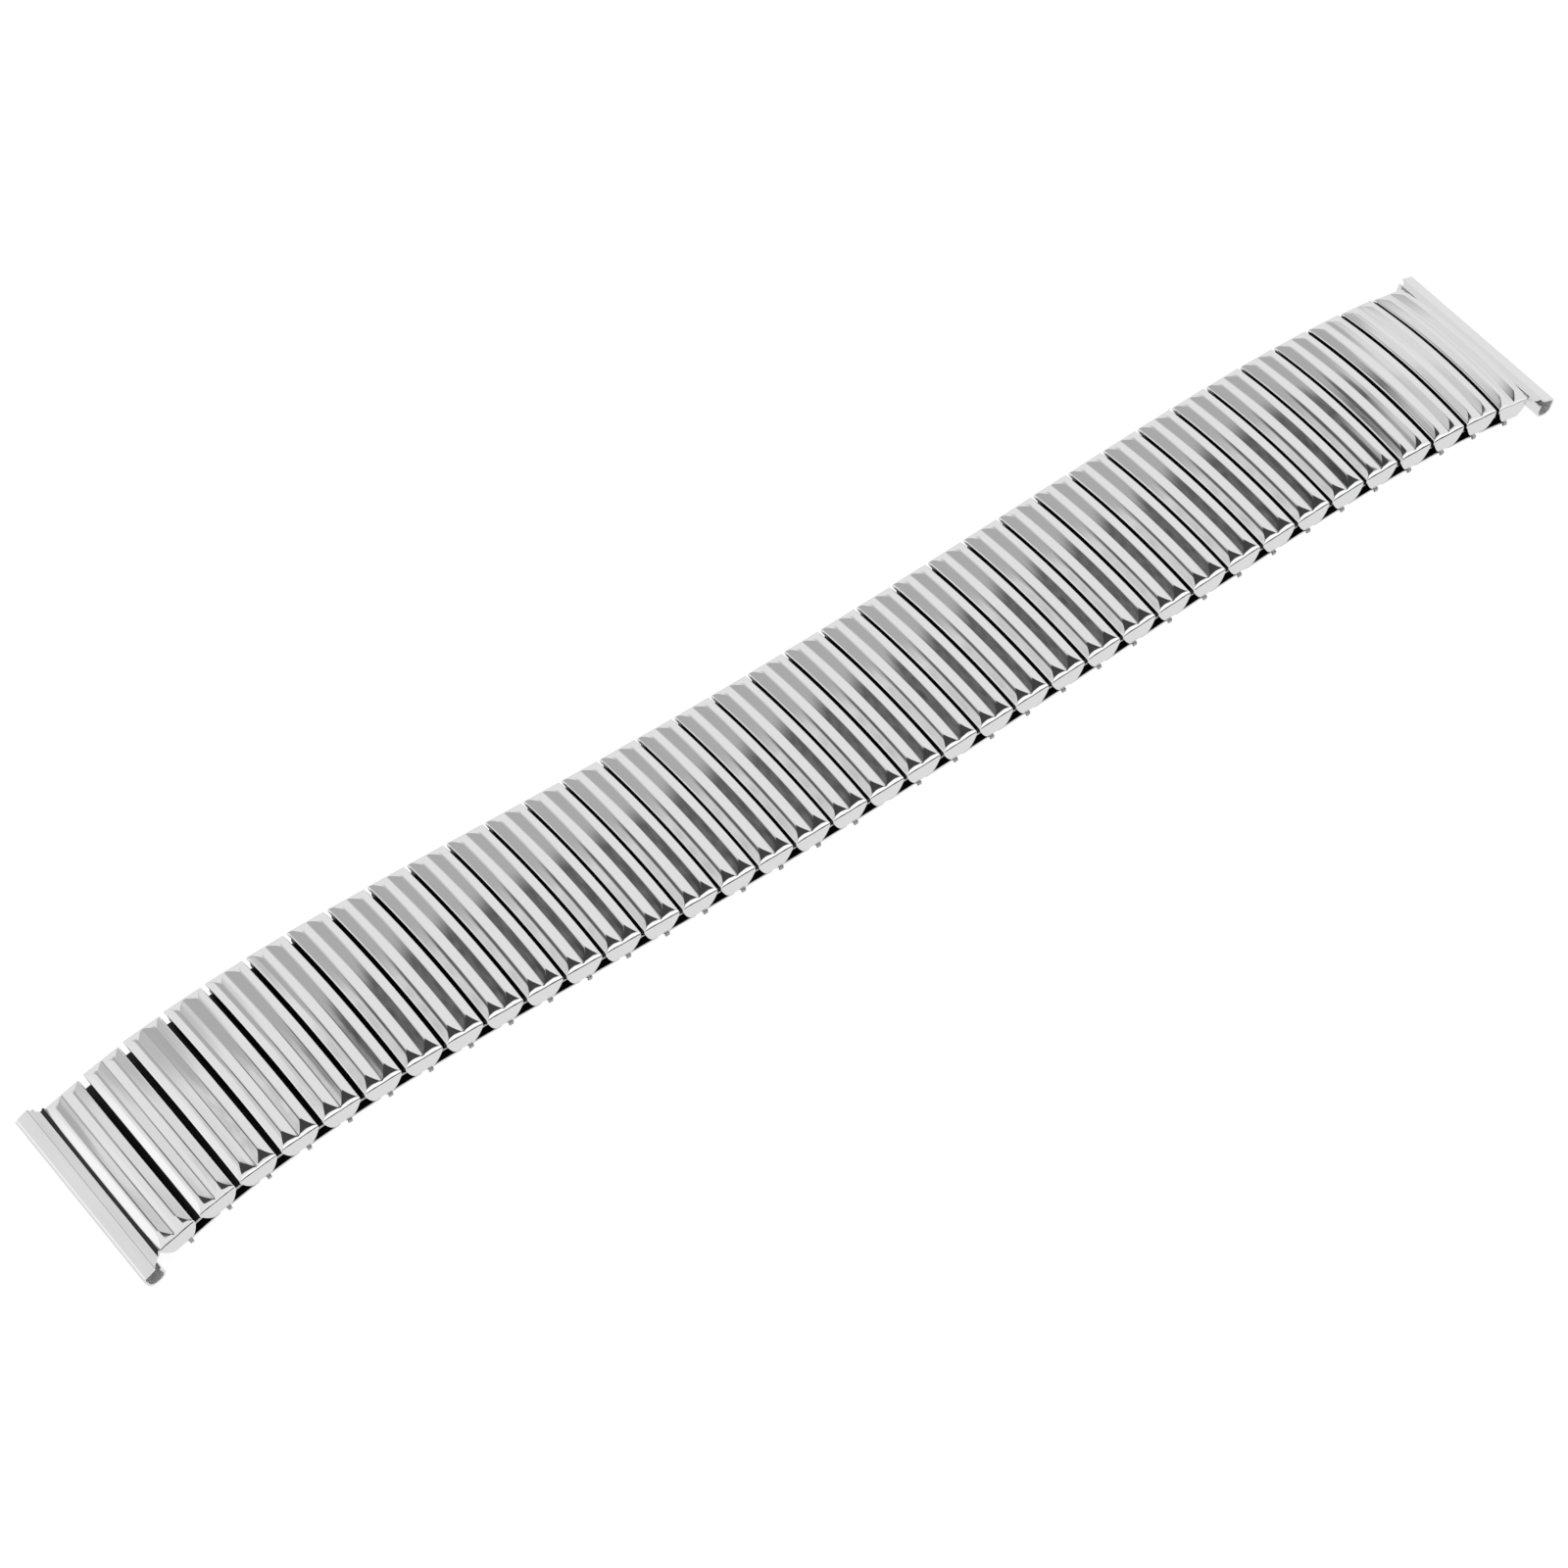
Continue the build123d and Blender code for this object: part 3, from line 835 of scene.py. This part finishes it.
def sleeve_grids(length, middle_x, low, floor_end):
    """A flat tube, with its seam in the middle of its floor, which may reach further out than its ceiling."""
    x, high = length / 2, low + SLEEVE_HEIGHT
    seam = [(0, low)]
    corners = [(-x, low), (-x, high), (x, high), (x, low)]
    outer = rounded(seam + [(*corner, SLEEVE_ROUND) for corner in corners] + seam)
    eased, inner = offset_line(outer, -MOUTH_CHAMFER), offset_line(outer, -SLEEVE_SHEET)

    def ring(line, side, inset=0.0):
        ends = []
        for px, pz in line:
            end = floor_end + (SLEEVE_WIDTH / 2 - floor_end) * min(max((pz - low) / SLEEVE_HEIGHT, 0), 1)
            ends.append((middle_x + px, side * (end - inset), pz))
        return ends

    skin = [ring(eased, -1), ring(outer, -1, MOUTH_CHAMFER), ring(outer, 1, MOUTH_CHAMFER), ring(eased, 1)]
    lining = [ring(inner, -1), ring(inner, 1)]
    return [skin, lining, (skin[0], lining[0]), (skin[-1], lining[-1])]


top_sleeve = sleeve_grids(TOP_SLEEVE_LENGTH, 0, 0, SLEEVE_WIDTH / 2)
bottom_sleeve = sleeve_grids(BOTTOM_SLEEVE_LENGTH, PITCH / 2, BOTTOM_ROW_Z, BOTTOM_FLOOR_END)
print("sleeves", round(TOP_SLEEVE_LENGTH, 2), "and", round(BOTTOM_SLEEVE_LENGTH, 2), "mm long")

# %% [markdown]
# ## Leaf springs and staples
# Inside each sleeve a bowed leaf spring presses on the staples' legs, and each staple is a U of flat strip
# that ties a top sleeve to a bottom one. Both are ribbons: a line in the plane across the band, given a
# width along it and a thickness. Ribbons are cheap, so all of them are made, also where only a glint of
# them shows through the gaps. The staples on the sliding side of each gap are turned out at the bottom, and
# show as little hooks under the flaps.

# %% Ribbons
def ribbon_grids(line, width, thickness, x_of_z):
    """A flat strip along a line (y, z). Its middle follows x_of_z along the band."""
    top = offset_line(line, thickness)
    rows = []
    for (y, z), (top_y, top_z) in zip(line, top):
        x = x_of_z(z)
        low_near, high_near = (x - width / 2, y, z), (x - width / 2, top_y, top_z)
        low_far, high_far = (x + width / 2, y, z), (x + width / 2, top_y, top_z)
        rows.append([low_near, low_far, high_far, high_near, low_near])
    ends = [[row[:2], [row[3], row[2]]] for row in (rows[0], rows[-1])]
    return [rows, *ends]


def constant(value):
    """A strip that runs straight across the band."""
    return lambda z: value


print("ribbons ready")

# %% Leaf springs
SPRING_SHEET = 0.1
SPRING_WIDTH = 1.7
SPRING_CLEARANCE = 0.02
STAPLE_LEG = 4.0
STAPLE_SHEET = 0.18
STAPLE_OFFSET = 0.05
LEG_CLEARANCE = 0.05
LEG_TIP = SLEEVE_WIDTH / 2 + STAPLE_OFFSET - STAPLE_LEG
SPRING_INSET = 0.3
BOW_CLEARANCE = 0.35
BOW_STEPS = 14


def spring_grids(middle_x, end_z, bow_z):
    """A leaf with flat ends and a bowed middle."""
    bow, end = LEG_TIP - BOW_CLEARANCE, SLEEVE_WIDTH / 2 - SPRING_INSET
    line = [(-end, end_z)]
    for k in range(BOW_STEPS + 1):
        share = 2 * k / BOW_STEPS - 1
        line.append((bow * share, end_z + (bow_z - end_z) * (1 - share * share)))
    line.append((end, end_z))
    return ribbon_grids(line, SPRING_WIDTH, SPRING_SHEET, constant(middle_x))


floor_of_spring = SLEEVE_SHEET + SPRING_CLEARANCE
under_ceiling = SLEEVE_HEIGHT - SLEEVE_SHEET - SPRING_CLEARANCE - SPRING_SHEET
on_staple = BOTTOM_ROW_Z + SLEEVE_SHEET + LEG_CLEARANCE + STAPLE_SHEET + SPRING_CLEARANCE
top_spring = spring_grids(0, floor_of_spring, under_ceiling)
bottom_spring = spring_grids(PITCH / 2, on_staple, BOTTOM_ROW_Z + under_ceiling)
print("spring bow", round(under_ceiling - floor_of_spring, 2), "mm")

# %% Staples
STAPLE_WIDTH = 0.38
STAPLE_BEND = 0.2
STAPLE_SPACING = 0.19
STRETCH = 1.75
TRAVEL_CLEARANCE = 0.09
SLIDE_STAPLE_X = STRETCH + TRAVEL_CLEARANCE + STAPLE_WIDTH / 2 + SLEEVE_SHEET - TOP_SLEEVE_LENGTH / 2
SLIDE_STAPLE_LOW_X = BOTTOM_SLEEVE_GAP / 2 + SLEEVE_SHEET + TRAVEL_CLEARANCE + STAPLE_WIDTH / 2
HINGE_STAPLE_X = SLIDE_STAPLE_X + STAPLE_WIDTH + STAPLE_SPACING
HOOK_PAST_FLAP = 0.16
HOOK_BEHIND_FLAP = 0.07
HOOK_NECK_Z = -0.80
HOOK_Z = -1.26
HOOK_OUT = COVER_WIDTH / 2 + HOOK_PAST_FLAP
HOOK_BACK = COVER_WIDTH / 2 - HOOK_BEHIND_FLAP
HOOK_BEND = 0.08


def staple_grids(top_x, bottom_x, side, hooked):
    """One staple at the near (-1) or far (1) side, its legs in two sleeves. A hooked one is turned out."""
    top = SLEEVE_HEIGHT - SLEEVE_SHEET - LEG_CLEARANCE
    bottom = BOTTOM_ROW_Z + SLEEVE_SHEET + LEG_CLEARANCE
    back = SLEEVE_WIDTH / 2 + STAPLE_OFFSET + STAPLE_SHEET
    corners = [(LEG_TIP, top), (back, top, STAPLE_BEND)]
    if hooked:
        corners += [
            (back, HOOK_NECK_Z, HOOK_BEND / 2),
            (HOOK_OUT, HOOK_NECK_Z - HOOK_BEND / 2, HOOK_BEND),
            (HOOK_OUT, HOOK_Z, HOOK_BEND),
            (HOOK_BACK, HOOK_Z, HOOK_BEND),
            (HOOK_BACK, bottom, HOOK_BEND),
        ]
    else:
        corners += [(back, bottom, STAPLE_BEND)]
    outer = rounded(corners + [(LEG_TIP, bottom)], steps=4)
    bridge_low, bridge_high = bottom + STAPLE_BEND, top - STAPLE_BEND

    def lean(z):
        share = (z - bridge_low) / (bridge_high - bridge_low)
        return bottom_x + (top_x - bottom_x) * min(max(share, 0), 1)

    line = [(side * y, z) for y, z in outer]
    return ribbon_grids(line, STAPLE_WIDTH, -STAPLE_SHEET * side, lean)


staples = []
for side in (-1, 1):
    staples += staple_grids(HINGE_STAPLE_X, HINGE_STAPLE_X, side, False)
    staples += staple_grids(PITCH + SLIDE_STAPLE_X, PITCH - SLIDE_STAPLE_LOW_X, side, True)
print("staples at", round(HINGE_STAPLE_X, 2), "and", round(PITCH + SLIDE_STAPLE_X, 2), "mm")

# %% [markdown]
# ## The lugs
# At each end a strip comes out from under the last cover, dips to a crease and rolls into a tube for the
# spring bar. The roll is flat on top and round below, and wider than the rest, so the strip widens between
# the crease and the roll in a hollow curve. One grid makes it: its columns follow the rolled line, and each
# row runs across at its own share of the width at that column. The crease is painted nearly black as
# painted shade, and the bore keeps the dull skin of the strip.

# %% Draw a lug
LUG_LENGTH = 20.0
TONGUE_WIDTH = COVER_WIDTH - 2 * TONGUE_INSET
TONGUE_LENGTH = 2.2
TONGUE_TOP_Z = SKIRT_Z + LUG_SHEET
TONGUE_REACH = 0.05
TONGUE_BEND = 0.03
WIDTH_STEP = 0.03
CREASE_DEPTH = 0.42
CREASE_Z = TONGUE_TOP_Z - CREASE_DEPTH
CREASE_BEND = 0.08
LUG_RADIUS = 1.05
LUG_REACH = 1.6
LUG_DROP = 0.15
BORE_X = LUG_START_X + LUG_REACH
BORE_Z = TONGUE_TOP_Z - LUG_DROP - LUG_RADIUS
SHOULDER_BEFORE_BORE = 0.45
SHOULDER_X = BORE_X - SHOULDER_BEFORE_BORE
SHOULDER_BEND = 0.12
TUBE_SLOPE_DROP = 0.22
FRONT_BEND = 0.45
UNDER_BEND = 0.8
UNDER_INSET = 0.1
LIP_INSET = 0.2
LIP_DROP = 0.7
NECK_POWER = 1.6
LUG_SPACING = 0.15
LUG_ROWS = 24


def lug_line():
    """The outer side of the rolled strip, from the tongue's tip round the tube to its closing edge."""
    top, bottom = BORE_Z + LUG_RADIUS, BORE_Z - LUG_RADIUS
    out, back = BORE_X + LUG_RADIUS, BORE_X - LUG_RADIUS
    corners = [
        (LUG_START_X + TONGUE_REACH, TONGUE_TOP_Z, TONGUE_BEND),
        (CREASE_X, CREASE_Z, CREASE_BEND),
        (SHOULDER_X, top, SHOULDER_BEND),
        (out, top - TUBE_SLOPE_DROP, FRONT_BEND),
        (out - UNDER_INSET, bottom, UNDER_BEND),
        (back + UNDER_INSET, bottom, UNDER_BEND),
    ]
    start, end = (LUG_START_X - TONGUE_LENGTH, TONGUE_TOP_Z), (back + LIP_INSET, TONGUE_TOP_Z - LIP_DROP)
    line = rounded([start, *corners, end], steps=7)
    line[1:1] = [(LUG_START_X - step * WIDTH_STEP, TONGUE_TOP_Z) for step in (2, 1)]
    return finely_spaced(line, LUG_SPACING)


def half_widths(line):
    """Half the strip's width along its line: a narrow tongue, a hollow neck, and the wide tube."""
    tongue_end = LUG_START_X - 1.5 * WIDTH_STEP
    widths, rolled = [], False
    for x, _ in line:
        rolled = rolled or x >= SHOULDER_X
        share = 1 if rolled else max(x - LUG_START_X, 0) / (SHOULDER_X - LUG_START_X)
        wide = COVER_WIDTH + (LUG_LENGTH - COVER_WIDTH) * share**NECK_POWER
        widths.append((TONGUE_WIDTH if x < tongue_end and not rolled else wide) / 2)
    return widths


def lug_grids():
    """The rolled strip with its thickness and rims."""
    line = lug_line()
    widths = half_widths(line)
    shares = [2 * k / LUG_ROWS - 1 for k in range(LUG_ROWS + 1)]
    skins = []
    for skin in (line, offset_line(line, -LUG_SHEET)):
        skins.append([[(x, share * width, z) for (x, z), width in zip(skin, widths)] for share in shares])
    outer_rows, inner_rows = skins
    rims = [(outer_rows[k], inner_rows[k]) for k in (0, -1)]
    rims += [([row[k] for row in outer_rows], [row[k] for row in inner_rows]) for k in (0, -1)]
    return [outer_rows, inner_rows, *rims]


lug = lug_grids()
print("lug line", len(lug[0][0]), "points")

# %% [markdown]
# ## Putting it together
# Now every piece is placed on its link. A link that the CAD model splits into several bodies is split the
# same way here, so that a cover rides with its own link and a bottom sleeve with its staples rides with
# whatever body its gap belongs to.

# %% Place the top row
TIP_DEGREES = 0.7
ROLL_DEGREES = 0.12
FLAT_COVERS = 3
MIDDLE_NODES = {"cover": "middle_cover", "top_sleeve": "middle_sleeve", "top_spring": "middle_leaf_spring"}
TOP_ROW = {
    # Top sleeves are nearly black all over and the top springs dark: painted shade under the covers.
    "top_sleeve": (top_sleeve, "painted_shade_steel", "sleeve_steel"),
    "top_spring": (top_spring, "spring_steel", "spring_steel"),
}


def node_of(kind, number):
    """The CAD node that a piece of a top link stands for."""
    return MIDDLE_NODES[kind] if number == MIDDLE else f"top_link_{number:02d}"


def edge_drops(number):
    """How low a cover's edges are. Left of the middle the links point the other way, so the edges swap."""
    if number > LINK_COUNT - FLAT_COVERS:
        return FLAT_DROPS
    return LEFT_DROPS if number < MIDDLE else RIGHT_DROPS


def settled(place, number):
    """A cover's place, tipped a little along and across the band, as no two pressed covers sit alike."""
    origin, out, side, up = place
    chance = random.Random(number)
    tip = Matrix.Rotation(math.radians(chance.uniform(-TIP_DEGREES, TIP_DEGREES)), 3, side)
    roll = Matrix.Rotation(math.radians(chance.uniform(-ROLL_DEGREES, ROLL_DEGREES)), 3, out)
    pivot = origin + up * COVER_EDGE_Z * MM
    turn = tip @ roll
    return pivot - turn @ up * COVER_EDGE_Z * MM, turn @ out, turn @ side, turn @ up


for number, place in tops.items():
    body = "root" if number == MIDDLE else f"top_link_{number:02d}"
    drawn = covers[edge_drops(number), slotted_foot if number in (1, LINK_COUNT) else plain_foot]
    pieces = {"cover": (drawn, "cover_steel", "cover_steel"), **TOP_ROW}
    for kind, (grids, finish, slot) in pieces.items():
        here = settled(place, number) if kind == "cover" else place
        fit_piece(f"{kind}_{number:02d}", grids, here, finish, body, node_of(kind, number))
print("covers", len(tops))

# %% Place the bottom row
BOTTOM_ROW = {
    "bottom_sleeve": (bottom_sleeve, "sleeve_steel", "sleeve_steel"),
    # The bottom springs' dark finish is painted shade inside the sleeves.
    "bottom_spring": (bottom_spring, "spring_steel", "spring_steel"),
    "staples": (staples, "staple_steel", "spring_steel"),
}

for gap, place in bottoms.items():
    body = f"bottom_link_{gap:02d}"
    if body not in frame["bodies"]:
        inner_link = gap if gap > MIDDLE else gap + 1
        body = f"top_link_{inner_link:02d}"
    for kind, (grids, finish, slot) in BOTTOM_ROW.items():
        fit_piece(f"{kind}_{gap:02d}", grids, place, finish, body, body)
print("bottom links", len(bottoms))

# %% Place the lugs
for name, number in (("left", 1), ("right", LINK_COUNT)):
    body, node = f"top_link_{number:02d}", f"lug_{name}"
    fit_piece(f"rolled_lug_{name}", lug, tops[number], "lug_steel", body, node)

# %% Print the CAD box
print("CAD box", [round(x / MM, 2) for corner in cad_box for x in corner])
